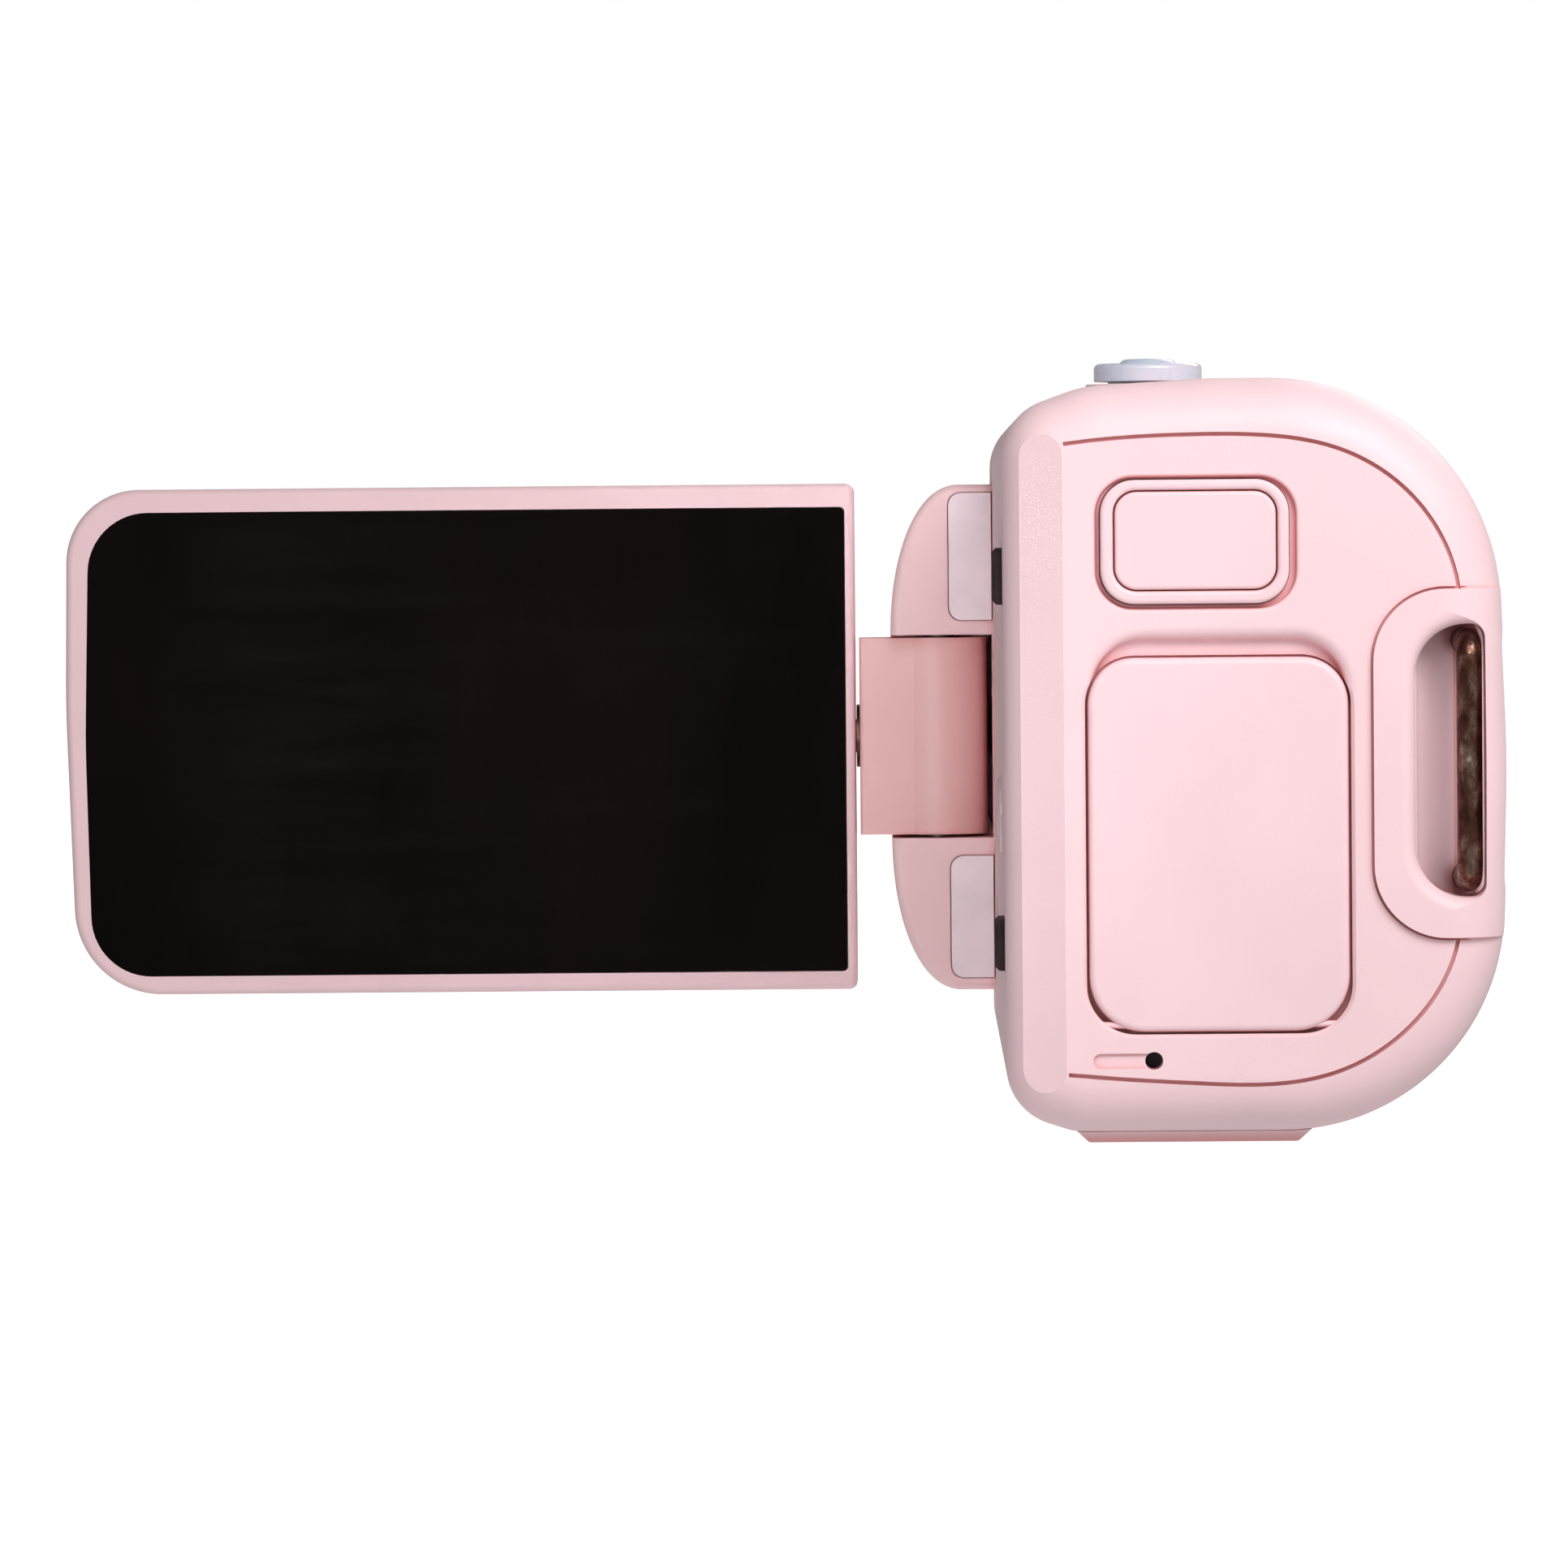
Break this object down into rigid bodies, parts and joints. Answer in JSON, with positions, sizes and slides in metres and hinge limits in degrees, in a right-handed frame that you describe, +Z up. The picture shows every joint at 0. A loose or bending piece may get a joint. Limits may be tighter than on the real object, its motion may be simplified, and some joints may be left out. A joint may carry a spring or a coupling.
{
  "type": "camcorder",
  "caption": "Palm camcorder with a D-shaped body and a swing-out, turning screen on a side hinge, a rear battery door and record key, a strap eye and a tripod thread.",
  "frame": {"origin": "mouth of the tripod thread, at the underside of the base plate", "axes": "+Z up, +Y forward along the lens, +X to the right of somebody behind the camcorder; the open screen points along -X"},
  "size_m": [0.1322, 0.119, 0.068],
  "materials": {
    "shell_pink": "matte, finely textured",
    "door_pink": "satin",
    "housing_pink": "satin",
    "dark_steel": "satin, blackened",
    "arm_pink": "satin",
    "pad_lilac": "matte",
    "pearl": "pearly gloss",
    "key_grey": "satin",
    "bumper_rubber": "matte",
    "bar_metal": "polished, dark bronze tint",
    "steel": "satin",
    "ring_metal": "satin",
    "brass": "satin",
    "black_plastic": "matte",
    "board_green": "satin",
    "lens_glass": "clear, coated",
    "lamp_window": "frosted",
    "screen_black": "gloss",
    "battery_wrap": "satin"
  },
  "bodies": {
    "root": {"rear_cover": "shell_pink", "left_shell": "shell_pink", "right_shell": "shell_pink", "base_plate": "shell_pink", "lens_barrel": "shell_pink", "front_housing": "housing_pink", "door_pin": "door_pink", "record_ring": "door_pink", "ear_pads": "pad_lilac", "rear_bumpers": "bumper_rubber", "record_dome": "bumper_rubber", "strap_bar": "bar_metal", "front_strap_bar": "bar_metal", "swing_pin": "dark_steel", "base_screws": "steel", "shield_can": "steel", "card_slot": "steel", "usb_port": "steel", "hdmi_port": "steel", "front_ring": "ring_metal", "tripod_insert": "brass", "battery_contacts": "brass", "battery_tray": "black_plastic", "lens_bezel": "black_plastic", "lens_tube": "black_plastic", "speaker": "black_plastic", "rear_microphone": "black_plastic", "front_microphones": "black_plastic", "memory_card": "black_plastic", "image_sensor": "black_plastic", "rear_board": "board_green", "sensor_board": "board_green", "main_board": "board_green", "control_board": "board_green", "button_board": "board_green", "front_lens": "lens_glass", "middle_lens": "lens_glass", "rear_lens": "lens_glass", "lamp_window": "lamp_window", "battery": "battery_wrap"},
    "hinge_arm": {"hinge_cover_rear": "arm_pink", "hinge_cover_front": "arm_pink", "hinge_screws": "dark_steel", "tilt_shaft": "dark_steel"},
    "screen": {"screen_bezel": "shell_pink", "screen_glass": "screen_black", "display_panel": "screen_black", "screen_back": "shell_pink", "display_board": "board_green", "screen_screws": "steel"},
    "door": {"battery_door": "door_pink"},
    "record_key": {"record_key": "door_pink"},
    "zoom_lever": {"zoom_lever": "pearl"},
    "shutter_button": {"shutter_button": "pearl"},
    "power_button": {"power_button": "key_grey"},
    "mode_button": {"mode_button": "key_grey"},
    "play_button": {"play_button": "key_grey"}
  },
  "joints": [
    {"name": "lcd_swing", "type": "hinge", "parent": "root", "child": "hinge_arm", "pos_m": [-0.0218, 0.0281, 0.03325], "axis": [0, 0, 1], "range_deg": [0, 90]},
    {"name": "lcd_tilt", "type": "hinge", "parent": "hinge_arm", "child": "screen", "pos_m": [-0.0297, 0.0281, 0.03325], "axis": [-1, 0, 0], "range_deg": [-90, 180]},
    {"name": "battery_door_hinge", "type": "hinge", "parent": "root", "child": "door", "pos_m": [0, -0.0594, 0.01035], "axis": [1, 0, 0], "range_deg": [0, 90]},
    {"name": "record_press", "type": "slide", "parent": "root", "child": "record_key", "axis": [0, 1, 0], "range_m": [0, 0.0008], "stiffness_N_per_m": 800},
    {"name": "zoom_turn", "type": "hinge", "parent": "root", "child": "zoom_lever", "pos_m": [-0.0029, -0.022, 0.06665], "axis": [0, 0, 1], "range_deg": [-20, 20], "stiffness_Nm_per_rad": 0.02},
    {"name": "shutter_press", "type": "slide", "parent": "root", "child": "shutter_button", "axis": [0, 0, -1], "range_m": [0, 0.0006], "stiffness_N_per_m": 600},
    {"name": "power_press", "type": "slide", "parent": "root", "child": "power_button", "axis": [1, 0, 0], "range_m": [0, 0.0004], "stiffness_N_per_m": 800},
    {"name": "mode_press", "type": "slide", "parent": "root", "child": "mode_button", "axis": [1, 0, 0], "range_m": [0, 0.0004], "stiffness_N_per_m": 800},
    {"name": "play_press", "type": "slide", "parent": "root", "child": "play_button", "axis": [1, 0, 0], "range_m": [0, 0.0004], "stiffness_N_per_m": 800}
  ]
}
